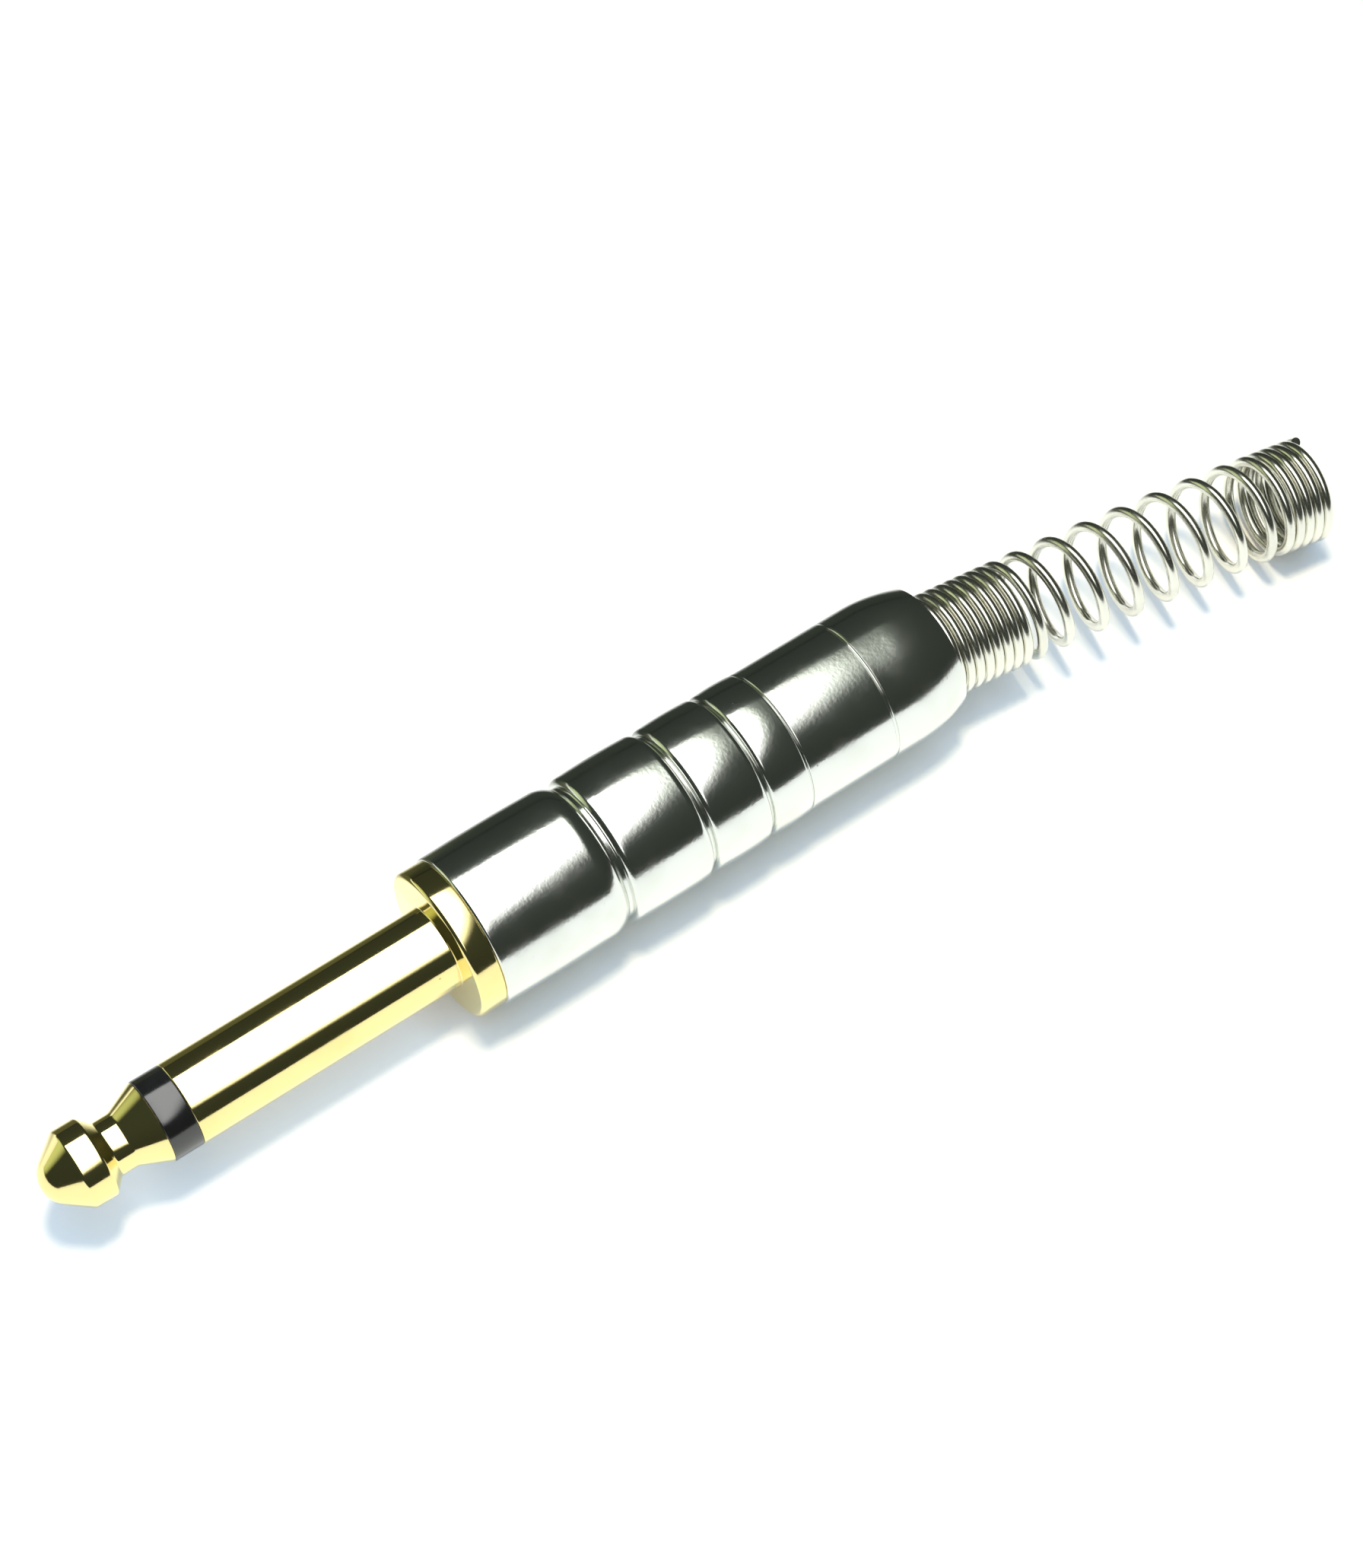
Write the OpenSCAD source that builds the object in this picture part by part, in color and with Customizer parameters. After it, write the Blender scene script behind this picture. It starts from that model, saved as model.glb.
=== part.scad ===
// Mono jack plug, 6.35 mm: a plated shaft with an insulated tip, a turned barrel that screws on
// behind it, and a spring that relieves the strain on the cable.
// The plug lies on its side. Its axis is X, the tip points to -X and the cable leaves to +X.
// The origin is on the axis, at the front face of the flange.

/* [Shaft] */
// Diameter of the shaft
shaft_d = 6.35; // [6.1:0.05:6.6]
// Length of the shaft, from the flange to the end of the tip
shaft_l = 32; // [29:0.5:35]
// Diameter of the flange
flange_d = 11.6; // [11:0.1:12]
// Thickness of the flange
flange_t = 2; // [1:0.1:2.5]
// Rounding of the flange's edges
flange_edge = 0.35; // [0.1:0.05:0.5]

/* [Tip] */
// Largest diameter of the head
head_d = 6.1; // [5.8:0.05:6.3]
// Length of the head, from its end to the band round its widest place
head_l = 2.6; // [2.2:0.1:3.5]
// Length of that band
band_l = 1.5; // [0.5:0.1:2]
// Radius of the head's blunt nose
nose_r = 2.2; // [1.5:0.05:2.4]
// Rounding of the band's edges
head_edge_r = 0.3; // [0.1:0.05:0.5]
// Length of the slope behind the band
slope_l = 1; // [0.7:0.1:1.6]
// Diameter of the waist
waist_d = 4.2; // [4:0.1:5]
// Length of the waist
waist_l = 1.3; // [1.2:0.1:2.5]
// Diameter of the tip in front of the insulating ring
tip_base_d = 6.2; // [5.8:0.05:6.3]
// Length of the flare from the waist to that diameter
flare_l = 2.1; // [1:0.1:2.5]
// Length of the rim behind the flare
rim_l = 0.2; // [0.1:0.05:0.5]
// Rise of the rim along that length
rim_rise = 0.05; // [0.02:0.01:0.1]

/* [Insulation] */
// Diameter of the insulating ring behind the tip
ring_d = 6.3; // [6:0.05:6.4]
// Length of that ring
ring_l = 2.25; // [1.5:0.05:3]
// Diameter of the ring's spigot in the sleeve
spigot_d = 4.4; // [4:0.1:5]
// Length of that spigot
spigot_l = 1.5; // [0.5:0.1:3]
// Diameter of the tip's rod
rod_d = 2.5; // [2:0.1:2.8]
// Wall of the tube round the rod
tube_wall = 0.4; // [0.2:0.05:0.5]
// Thickness of the washer behind the sleeve
washer_t = 1.2; // [0.8:0.1:2]
// Clearance between that washer and the ground strap
washer_clearance = 0.15; // [0.05:0.05:0.4]

/* [Thread] */
// Outside diameter of the thread on the sleeve
thread_d = 9.3; // [9:0.1:9.5]
// Length of that thread
thread_l = 6; // [4:0.5:7]
// Length of the relief between flange and thread
relief_l = 0.7; // [0.4:0.1:1]
// Diameter of the relief
relief_d = 8.4; // [8:0.1:8.8]
// Clearance round the thread
thread_clearance = 0.05; // [0.02:0.01:0.1]

/* [Barrel] */
// Diameter of the barrel at the front
barrel_d = 11.9; // [11.6:0.1:12.6]
// Diameter of the barrel behind its last groove
barrel_rear_d = 11.4; // [11.2:0.1:12.4]
// Length of the barrel
barrel_l = 41; // [39:0.1:45]
// Wall between the deepest groove and the hollow inside
groove_wall = 0.375; // [0.3:0.025:0.5]
// Width of the ledge that holds the spring in the barrel
ledge_w = 0.45; // [0.4:0.01:0.5]
// Length of the mouth that the spring leaves by
mouth_l = 1.2; // [0.8:0.1:1.6]
// Rounding of the front edge
front_edge = 0.2; // [0.1:0.05:0.4]
// Length of the round nose at the rear
nose_l = 4.4; // [3:0.1:6]
// Drop of that nose, from the side to the rear face
nose_drop = 0.75; // [0.4:0.05:0.9]
// Bottom of each groove, behind the barrel's front edge
groove_at = [10.75, 18, 23.1, 26.6]; // [5:0.05:30]
// Depth of each groove
groove_depth = [0.55, 0.5, 0.38, 0.15]; // [0.1:0.01:0.6]
// Length of the round lead into each groove
groove_lead = [1.6, 0.7, 0.5, 0.2]; // [0.15:0.05:2.5]
// Length of each groove's flat bottom
groove_flat = [0.3, 0.2, 0.15, 0.1]; // [0.1:0.05:1]
// Crown of each land ahead of a groove
crown = 0.06; // [0.02:0.01:0.1]
// Distance from the fine line to the nose
line_gap = 2.4; // [1:0.1:4]
// Radius of that line
line_r = 0.16; // [0.1:0.01:0.2]

/* [Liner] */
// Wall of the insulating liner
liner_wall = 0.4; // [0.2:0.05:0.5]
// Clearance round the liner
liner_clearance = 0.1; // [0.05:0.01:0.15]
// Distance from the thread to the liner
liner_back = 1; // [0.5:0.1:2]
// Gap between the liner and the spring
liner_gap = 1.5; // [1:0.1:10]

/* [Terminals] */
// Thickness of the stamped sheet
sheet_t = 0.6; // [0.4:0.05:0.8]
// Outside diameter of the ground terminal's ring
ground_ring_d = 8; // [7:0.1:8.4]
// Diameter of the stub that the ring is staked on
stub_d = 5.2; // [4.8:0.1:5.6]
// Clearance between the ground strap's corners and the liner
strap_clearance = 0.3; // [0.2:0.05:0.5]
// Width of the ground strap
strap_w = 3.6; // [2.5:0.1:3.8]
// Length of the ground strap
strap_l = 19; // [15:0.5:21]
// Lift of the cable clamp's outside above the outside of the strap
clamp_lift = 0.25; // [0.15:0.05:0.5]
// Length of the cable clamp
clamp_l = 4.5; // [3:0.5:6]
// Angle that the clamp wraps
clamp_wrap = 216; // [160:2:240]
// Diameter of the solder holes
solder_hole_d = 1.5; // [1:0.1:1.8]
// Outside diameter of the tip terminal's ring
lug_ring_d = 4.8; // [4.4:0.1:5.4]
// Width of the tip terminal's lug
lug_w = 2.6; // [2.2:0.1:3]
// Length of that lug
lug_l = 8.5; // [6:0.5:10]
// Diameter of the rod's peened head
peen_d = 3.6; // [3.2:0.1:4]
// Height of that head
peen_h = 0.6; // [0.4:0.05:0.8]

/* [Spring] */
// Clearance between the spring and the barrel's mouth
mouth_clearance = 0.4; // [0.35:0.05:0.6]
// Diameter of the wire
wire_d = 0.82; // [0.7:0.02:0.86]
// Clearance round the wider base turns that hold the spring in the barrel
base_clearance = 0.3; // [0.25:0.01:0.35]
// Number of base turns
base_turns = 2; // [1:1:3]
// Gap between close turns
close_gap = 0.02; // [0.015:0.005:0.04]
// Number of close turns behind the base
near_turns = 10; // [8:1:12]
// Number of turns in the open stretch
open_turns = 10; // [6:1:11]
// Pitch of the open stretch
open_pitch = 3.1; // [2:0.05:3.4]
// Turns over which the pitch opens and closes
ramp_turns = 3; // [1:0.5:3]
// Number of close turns at the cable's end
far_turns = 4; // [3:1:7]
// Clearance between the base turns and their seat
seat_clearance = 0.15; // [0.1:0.05:0.3]
// Lean of the spring in the barrel's mouth
lean = 5.5; // [0:0.5:6]
// Further bend along the spring
bend = 4.5; // [0:0.5:8]
// Direction of the bend, below the horizontal towards -Y
bend_toward = 24; // [0:1:90]
// Turn of the wire's start round the axis
wire_start = 200; // [0:5:355]

/* [Hidden] */
$fn = 96;

overcut = 1;
slip = 0.05;
arc_steps = 12;

shaft_r = shaft_d / 2;
rod_r = rod_d / 2;
tube_r = rod_r + slip + tube_wall;
sleeve_bore_r = tube_r + slip;

// Places along the axis, from the tip to the cable
tip_end = -shaft_l;
head_at = tip_end + head_l;
slope_at = head_at + band_l;
waist_at = slope_at + slope_l;
flare_at = waist_at + waist_l;
rim_at = flare_at + flare_l;
ring_at = rim_at + rim_l;
sleeve_at = ring_at + ring_l;
barrel_at = flange_t;
thread_at = barrel_at + relief_l;
stub_at = thread_at + thread_l;
stake_t = 0.15;
stake_at = stub_at + sheet_t;
washer_at = stake_at + stake_t;
lug_at = washer_at + washer_t;
peen_at = lug_at + sheet_t;
barrel_end = barrel_at + barrel_l;
mouth_at = barrel_end - mouth_l;
liner_at = stub_at + liner_back;

// Barrel sections: one in front of each groove and one behind the last
groove_n = len(groove_at);
function section_r(i) = (barrel_d + (barrel_rear_d - barrel_d) * i / groove_n) / 2;
function section_from(i) = i == 0 ? 0 : groove_at[i - 1] + groove_flat[i - 1];
function section_to(i) = i == groove_n ? barrel_l : groove_at[i];
function floor_r(i) = min(section_r(i), section_r(i + 1)) - groove_depth[i];
line_at = barrel_l - nose_l - line_gap;

// The hollow inside the barrel, and what fits in it
cavity_r = min([for (i = [0:groove_n - 1]) floor_r(i)]) - groove_wall;
mouth_r = cavity_r - ledge_w;
liner_r = cavity_r - liner_clearance;
strap_room = liner_r - liner_wall - strap_clearance;
strap_drop = sqrt(strap_room * strap_room - strap_w * strap_w / 4);
clamp_r = strap_drop - clamp_lift - sheet_t;
washer_r = strap_drop - sheet_t - washer_clearance;

// Spring: travel of the wire along the spring for a number of turns
wire_r = wire_d / 2;
coil_r = mouth_r - mouth_clearance - wire_r;
base_r = cavity_r - base_clearance - wire_r;
base_tilt = (base_r + wire_r) * sin(lean);
close_pitch = wire_d + close_gap;
open_from = base_turns + near_turns;
open_to = open_from + open_turns - ramp_turns;
turns = open_from + open_turns + far_turns;
wire_sides = 8;
turn_steps = 16;
function smooth(u) = u <= 0 ? 0 : u >= 1 ? 1 : u * u * (3 - 2 * u);
function smooth_area(u) = u <= 0 ? 0 : u >= 1 ? u - 0.5 : u * u * u * (1 - u / 2);
function opened(t) = ramp_turns * smooth_area(t / ramp_turns);
function travel(t) =
    close_pitch * t + (open_pitch - close_pitch) * (opened(t - open_from) - opened(t - open_to));
function wire_at_r(t) = base_r + (coil_r - base_r) * smooth(t - base_turns);

// Spring: its bent centre line, from the last base turn
spring_l = travel(turns) - travel(base_turns);
pivot = [mouth_at - seat_clearance - base_tilt - wire_r, 0, 0];
base_at = pivot.x - close_pitch * base_turns - wire_r - base_tilt;
bend_dir = [0, -cos(bend_toward), -sin(bend_toward)];
bend_side = cross([1, 0, 0], bend_dir);
bend_r = spring_l / (bend * PI / 180);
function lean_at(l) = lean + (l > 0 ? bend * l / spring_l : 0);
function along(l) = cos(lean_at(l)) * [1, 0, 0] + sin(lean_at(l)) * bend_dir;
function outward(l) = -sin(lean_at(l)) * [1, 0, 0] + cos(lean_at(l)) * bend_dir;
function centre(l) = l <= 0 || bend == 0 ? pivot + l * along(0) :
    pivot + bend_r * ((sin(lean_at(l)) - sin(lean)) * [1, 0, 0] + (cos(lean) - cos(lean_at(l))) * bend_dir);

// Solid turned about the X axis from a profile of radius and place
module turned() {
    rotate([0, 90, 0])
        rotate_extrude()
            children();
}

// Stretch of a profile between two radii and two places
module stretch(r0, r1, x0, x1) {
    translate([r0, x0])
        square([r1 - r0, x1 - x0]);
}

// Corner of a profile that an arc takes off, where the surface of radius r ends at x.
// The arc leaves the surface at a tangent and drops by drop over length l. way is 1 at a rear end.
module arc_corner(r, x, l, drop, way) {
    arc_r = (l * l + drop * drop) / (2 * drop);
    difference() {
        translate([r - drop, way > 0 ? x - l : x - overcut])
            square([drop + overcut, l + overcut]);
        translate([r - arc_r, x - way * l])
            circle(arc_r);
    }
}

// Points of an arc in a profile, about a centre of radius r and place x
function arc(r, x, arc_r, from, to) = [
    for (k = [0:arc_steps])
        let (a = from + (to - from) * k / arc_steps)
        [r + arc_r * cos(a), x + arc_r * sin(a)]
];

// Direction that a flank faces which runs from one round corner of a profile to the next.
// step leads from centre to centre, and the first corner's radius is larger by more.
function flank_turn(step, more) = atan2(step.y, step.x) - acos(more / norm(step));

module tip_pin() {
    nose_at = tip_end + nose_r;
    edge_r = head_d / 2 - head_edge_r;
    front_turn = flank_turn([edge_r, head_at - nose_at], nose_r - head_edge_r);
    rear_turn = flank_turn([waist_d / 2 - edge_r, slope_l], head_edge_r);
    color("gold")
        turned() {
            polygon(concat(
                arc(0, nose_at, nose_r, -90, front_turn),
                arc(edge_r, head_at, head_edge_r, front_turn, 0),
                arc(edge_r, slope_at, head_edge_r, 0, rear_turn),
                [
                    [waist_d / 2, waist_at],
                    [waist_d / 2, flare_at],
                    [tip_base_d / 2 - rim_rise, rim_at],
                    [tip_base_d / 2, ring_at],
                    [0, ring_at]
                ]
            ));
            stretch(0, rod_r, ring_at, peen_at);
            difference() {
                stretch(0, peen_d / 2, peen_at, peen_at + peen_h);
                arc_corner(peen_d / 2, peen_at + peen_h, peen_h, peen_h, 1);
            }
        }
}

module tip_insulator() {
    color("dimgray")
        turned() {
            stretch(rod_r + slip, ring_d / 2, ring_at, sleeve_at);
            stretch(rod_r + slip, spigot_d / 2, sleeve_at, sleeve_at + spigot_l);
        }
}

module rod_tube() {
    color("white")
        turned()
            stretch(rod_r + slip, tube_r, sleeve_at + spigot_l, washer_at);
}

module sleeve() {
    color("gold")
        turned()
            difference() {
                union() {
                    stretch(sleeve_bore_r, shaft_r, sleeve_at, 0);
                    stretch(sleeve_bore_r, flange_d / 2, 0, flange_t);
                    stretch(sleeve_bore_r, relief_d / 2, flange_t, thread_at);
                    stretch(sleeve_bore_r, thread_d / 2, thread_at, stub_at);
                    stretch(sleeve_bore_r, stub_d / 2, stub_at, stake_at);
                    stretch(sleeve_bore_r, stub_d / 2 + stake_t, stake_at, washer_at);
                }
                stretch(0, spigot_d / 2 + slip, sleeve_at - overcut, sleeve_at + spigot_l);
                arc_corner(flange_d / 2, 0, flange_edge, flange_edge, -1);
                arc_corner(thread_d / 2, stub_at, relief_l / 2, relief_l / 2, 1);
            }
}

// Sheet bent at a right angle, drawn in the XZ plane: a leg that stands up from the foot of a
// strap of length l, with its outer corner rounded
module bent_strip(leg, l, w) {
    rotate([90, 0, 0])
        linear_extrude(w, center = true)
            difference() {
                union() {
                    square([sheet_t, leg]);
                    square([l, sheet_t]);
                }
                difference() {
                    square(sheet_t);
                    translate([sheet_t, sheet_t])
                        circle(sheet_t);
                }
            }
}

module ground_terminal() {
    wing_at = stub_at + strap_l - clamp_l;
    color("silver")
        difference() {
            union() {
                turned()
                    stretch(stub_d / 2 + slip, ground_ring_d / 2, stub_at, stub_at + sheet_t);
                translate([stub_at, 0, -strap_drop])
                    bent_strip(strap_drop - stub_d / 2 - slip, strap_l, strap_w);
                rotate([0, 90, 0])
                    rotate([0, 0, -clamp_wrap / 2])
                        rotate_extrude(angle = clamp_wrap)
                            stretch(clamp_r, clamp_r + sheet_t, wing_at, wing_at + clamp_l);
            }
            translate([(stub_at + wing_at) / 2, 0, -strap_drop])
                cylinder(d = solder_hole_d, h = 2 * overcut, center = true);
        }
}

module rear_insulator() {
    color("saddlebrown")
        turned()
            stretch(rod_r + slip, washer_r, washer_at, lug_at);
}

module tip_terminal() {
    lug_end = lug_at + lug_l;
    color("silver")
        difference() {
            union() {
                turned()
                    stretch(rod_r + slip, lug_ring_d / 2, lug_at, peen_at);
                translate([lug_at, 0, lug_ring_d / 2])
                    mirror([0, 0, 1])
                        bent_strip(lug_ring_d / 2 - rod_r - slip, lug_l - lug_w / 2, lug_w);
                translate([lug_end - lug_w / 2, 0, lug_ring_d / 2 - sheet_t])
                    cylinder(d = lug_w, h = sheet_t);
            }
            translate([lug_end - lug_w / 2, 0, lug_ring_d / 2])
                cylinder(d = solder_hole_d, h = 2 * overcut, center = true);
        }
}

// Points of an arc that leaves the surface of radius r at a tangent and ends at x, lower by drop
function falling_arc(r, x, l, drop) =
    let (arc_r = (l * l + drop * drop) / (2 * drop))
    arc(r - arc_r, x - l, arc_r, 0, 2 * atan2(drop, l));

// Points of one section of the barrel's outside, in places behind its front edge
function section_points(i) =
    let (
        r = section_r(i),
        x0 = section_from(i),
        x1 = section_to(i),
        rise = i == 0 ? front_edge : r - floor_r(i - 1),
        fall = i == groove_n ? nose_drop : r - floor_r(i),
        fall_l = i == groove_n ? nose_l : groove_lead[i],
        land_at = x0 + rise,
        land_l = x1 - fall_l - land_at
    )
    concat(
        arc(r - rise, x0 + rise, rise, -90, 0),
        i == groove_n ? arc(r, line_at, line_r, -90, -270) : [
            for (k = [1:arc_steps - 1])
                let (u = k / arc_steps)
                [r + 4 * crown * u * (1 - u), land_at + land_l * u]
        ],
        falling_arc(r, x1, fall_l, fall)
    );

module barrel() {
    bore_r = thread_d / 2 + thread_clearance;
    color("lightsteelblue")
        turned()
            translate([0, barrel_at])
                polygon(concat(
                    [for (i = [0:groove_n]) each section_points(i)],
                    [
                        [mouth_r, barrel_l],
                        [mouth_r, mouth_at - barrel_at],
                        [cavity_r, mouth_at - barrel_at],
                        [cavity_r, stub_at - barrel_at],
                        [bore_r, stub_at - barrel_at],
                        [bore_r, 0]
                    ]
                ));
}

module barrel_liner() {
    color("whitesmoke")
        turned()
            stretch(liner_r - liner_wall, liner_r, liner_at, base_at - liner_gap);
}

// Ring of points round the wire after t turns
function wire_ring(t) =
    let (
        l = travel(t) - travel(base_turns),
        a = wire_start + 360 * t,
        out = cos(a) * outward(l) + sin(a) * bend_side
    )
    [
        for (k = [0:wire_sides - 1])
            let (b = 360 * k / wire_sides)
            centre(l) + (wire_at_r(t) + wire_r * cos(b)) * out + wire_r * sin(b) * along(l)
    ];

module spring() {
    steps = turns * turn_steps;
    rings = [for (i = [0:steps]) wire_ring(i / turn_steps)];
    points = [for (ring = rings) each ring];
    sides = [
        for (i = [0:steps - 1], k = [0:wire_sides - 1])
            let (
                a = i * wire_sides + k,
                b = i * wire_sides + (k + 1) % wire_sides
            )
            each [[a, b, a + wire_sides], [b, b + wire_sides, a + wire_sides]]
    ];
    first_end = [for (k = [0:wire_sides - 1]) wire_sides - 1 - k];
    last_end = [for (k = [0:wire_sides - 1]) steps * wire_sides + k];
    color("gray")
        polyhedron(points, concat(sides, [first_end, last_end]));
}

tip_pin();
tip_insulator();
rod_tube();
sleeve();
ground_terminal();
rear_insulator();
tip_terminal();
barrel();
barrel_liner();
spring();
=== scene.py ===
import math

import bmesh
import bpy
from mathutils import Matrix, Vector


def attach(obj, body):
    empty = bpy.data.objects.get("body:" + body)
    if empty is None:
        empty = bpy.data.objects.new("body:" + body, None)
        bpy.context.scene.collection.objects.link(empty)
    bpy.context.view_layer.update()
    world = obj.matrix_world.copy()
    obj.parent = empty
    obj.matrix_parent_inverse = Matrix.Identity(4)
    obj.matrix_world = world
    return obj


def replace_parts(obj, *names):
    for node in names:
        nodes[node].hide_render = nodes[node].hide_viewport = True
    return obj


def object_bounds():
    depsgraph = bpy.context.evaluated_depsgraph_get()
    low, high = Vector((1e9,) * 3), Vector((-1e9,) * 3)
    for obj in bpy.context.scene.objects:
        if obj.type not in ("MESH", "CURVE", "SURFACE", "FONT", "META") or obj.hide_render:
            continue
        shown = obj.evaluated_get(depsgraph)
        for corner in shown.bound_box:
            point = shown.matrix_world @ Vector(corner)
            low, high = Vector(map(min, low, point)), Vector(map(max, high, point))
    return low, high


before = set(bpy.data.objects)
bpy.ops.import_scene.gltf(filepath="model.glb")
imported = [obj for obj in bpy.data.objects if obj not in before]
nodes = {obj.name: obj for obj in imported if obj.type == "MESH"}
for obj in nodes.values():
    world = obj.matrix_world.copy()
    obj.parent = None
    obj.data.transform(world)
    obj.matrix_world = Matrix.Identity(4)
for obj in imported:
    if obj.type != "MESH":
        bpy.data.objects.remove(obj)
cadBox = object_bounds()
scene = bpy.context.scene
mm = 0.001
mergeWithin = 1e-7
sharpFrom = math.radians(32)  # an edge that turns less is shaded smooth
print("frame loaded,", len(nodes), "solids")


# drawing a turned profile in the XZ plane, place along X and radius along Z

def startProfile(x, r):
    bm = bmesh.new()
    return bm, bm.verts.new((x * mm, 0, r * mm))


def drawLine(bm, pen, x, r):
    end = bmesh.ops.extrude_vert_indiv(bm, verts=[pen])["verts"][0]
    bmesh.ops.translate(bm, verts=[end], vec=Vector((x * mm, 0, r * mm)) - end.co)
    return end


def drawArc(bm, pen, x, r, degrees, steps):  # about a centre, clockwise is positive
    swung = bmesh.ops.spin(bm, geom=[pen], cent=(x * mm, 0, r * mm), axis=(0, 1, 0),
                           angle=math.radians(degrees), steps=steps)
    return [g for g in swung["geom_last"] if isinstance(g, bmesh.types.BMVert)][0]


def drawBow(bm, pen, length, height, steps):  # a low arch over a stretch
    bowR = (length * length / 4 + height * height) / (2 * height)
    x, r = pen.co.x / mm, pen.co.z / mm
    return drawArc(bm, pen, x + length / 2, r + height - bowR,
                   2 * math.degrees(math.asin(length / 2 / bowR)), steps)


def drawFall(bm, pen, length, drop, steps):  # leaves level and falls over a length
    fallR = (length * length + drop * drop) / (2 * drop)
    x, r = pen.co.x / mm, pen.co.z / mm
    return drawArc(bm, pen, x, r - fallR, 2 * math.degrees(math.atan2(drop, length)), steps)


def drawCorner(bm, pen, x, r, before, after, radius, steps):  # rounded, between two slopes
    turn, slope = math.radians(after - before), math.radians(before)
    reach = radius * math.tan(abs(turn) / 2)
    side = math.copysign(radius, turn)
    startX, startR = x - reach * math.cos(slope), r - reach * math.sin(slope)
    pen = drawLine(bm, pen, startX, startR)
    centreX, centreR = startX - side * math.sin(slope), startR + side * math.cos(slope)
    return drawArc(bm, pen, centreX, centreR, before - after, steps)


def turnProfile(bm, steps):  # the lathe
    bmesh.ops.spin(bm, geom=bm.verts[:] + bm.edges[:], cent=(0, 0, 0), axis=(1, 0, 0),
                   angle=2 * math.pi, steps=steps, use_merge=True)
    bmesh.ops.remove_doubles(bm, verts=bm.verts, dist=mergeWithin)
    bmesh.ops.recalc_face_normals(bm, faces=bm.faces)


def addMesh(bm, name):
    mesh = bpy.data.meshes.new(name)
    bm.to_mesh(mesh)
    bm.free()
    thing = bpy.data.objects.new(name, mesh)
    scene.collection.objects.link(thing)
    return thing


def addPiece(bm, name, material, body):
    for face in bm.faces:
        face.smooth = True
    for edge in bm.edges:
        edge.smooth = not edge.is_manifold or edge.calc_face_angle() < sharpFrom
    piece = addMesh(bm, name)
    piece.data.materials.append(material)
    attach(piece, body)
    return piece


# nodes that the finishes and the stage are wired from

def wire(tree, fromSocket, toSocket):
    tree.links.new(fromSocket, toSocket)


def feed(tree, source, socket):  # with a number, a colour or what another node gives
    if isinstance(source, (int, float)):
        socket.default_value = source
    elif isinstance(source, tuple):
        socket.default_value = (*source, 1)
    else:
        wire(tree, source, socket)


def spotNode(tree):  # place on the piece
    return tree.nodes.new("ShaderNodeTexCoord").outputs["Object"]


def axesNode(tree):  # the same along X, Y and Z
    split = tree.nodes.new("ShaderNodeSeparateXYZ")
    wire(tree, spotNode(tree), split.inputs["Vector"])
    return split.outputs


def noiseNode(tree, vector, scale, detail, roughness):
    noise = tree.nodes.new("ShaderNodeTexNoise")
    noise.inputs["Scale"].default_value = scale
    noise.inputs["Detail"].default_value = detail
    noise.inputs["Roughness"].default_value = roughness
    wire(tree, vector, noise.inputs["Vector"])
    return noise.outputs["Fac"]


def rangeNode(tree, value, low, high, outLow, outHigh, easing="LINEAR"):
    step = tree.nodes.new("ShaderNodeMapRange")
    step.interpolation_type = easing
    limits = {"From Min": low, "From Max": high, "To Min": outLow, "To Max": outHigh}
    for label, limit in limits.items():
        feed(tree, limit, step.inputs[label])
    wire(tree, value, step.inputs["Value"])
    return step.outputs["Result"]


def fadeNode(tree, value, low, high):  # a soft step from 0 to 1
    return rangeNode(tree, value, low, high, 0, 1, "SMOOTHSTEP")


def mathNode(tree, operation, first, second):
    node = tree.nodes.new("ShaderNodeMath")
    node.operation = operation
    for socket, value in zip(node.inputs, (first, second)):
        feed(tree, value, socket)
    return node.outputs[0]


def vectorNode(tree, operation, vector, other=None):
    node = tree.nodes.new("ShaderNodeVectorMath")
    node.operation = operation
    wire(tree, vector, node.inputs[0])
    if other is not None:
        node.inputs[1].default_value = other
    return node.outputs["Value"]


def mixColour(tree, factor, first, second):
    node = tree.nodes.new("ShaderNodeMix")
    node.data_type = "RGBA"
    wire(tree, factor, node.inputs["Factor"])
    feed(tree, first, node.inputs["A"])
    feed(tree, second, node.inputs["B"])
    return node.outputs["Result"]


# effects that several finishes share

def makeGroup(name, colours, values):  # gives a colour, a roughness and a height
    group = bpy.data.node_groups.new(name, "ShaderNodeTree")
    sockets = [("Vector", "INPUT", "NodeSocketVector")]
    sockets += [(label, "INPUT", "NodeSocketColor") for label in colours]
    sockets += [(label, "INPUT", "NodeSocketFloat") for label in values]
    sockets += [("Colour", "OUTPUT", "NodeSocketColor")]
    sockets += [(label, "OUTPUT", "NodeSocketFloat") for label in ("Roughness", "Height")]
    for label, way, kind in sockets:
        group.interface.new_socket(label, in_out=way, socket_type=kind)
    return group, group.nodes.new("NodeGroupInput"), group.nodes.new("NodeGroupOutput")


platingGrain = {  # each noise has a scale, a detail and a roughness
    "cloud": (210, 4, 0.6), "hazeFade": (0.45, 0.72), "grit": (1900, 2, 0.5), "speckFull": 0.86,
    "speckDulls": 0.25, "speckPits": 0.05, "rings": (5200, 3, 0.7), "ringScale": (1, 0.01, 0.01),
    "peel": (3600, 1, 0.5),
}


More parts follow.
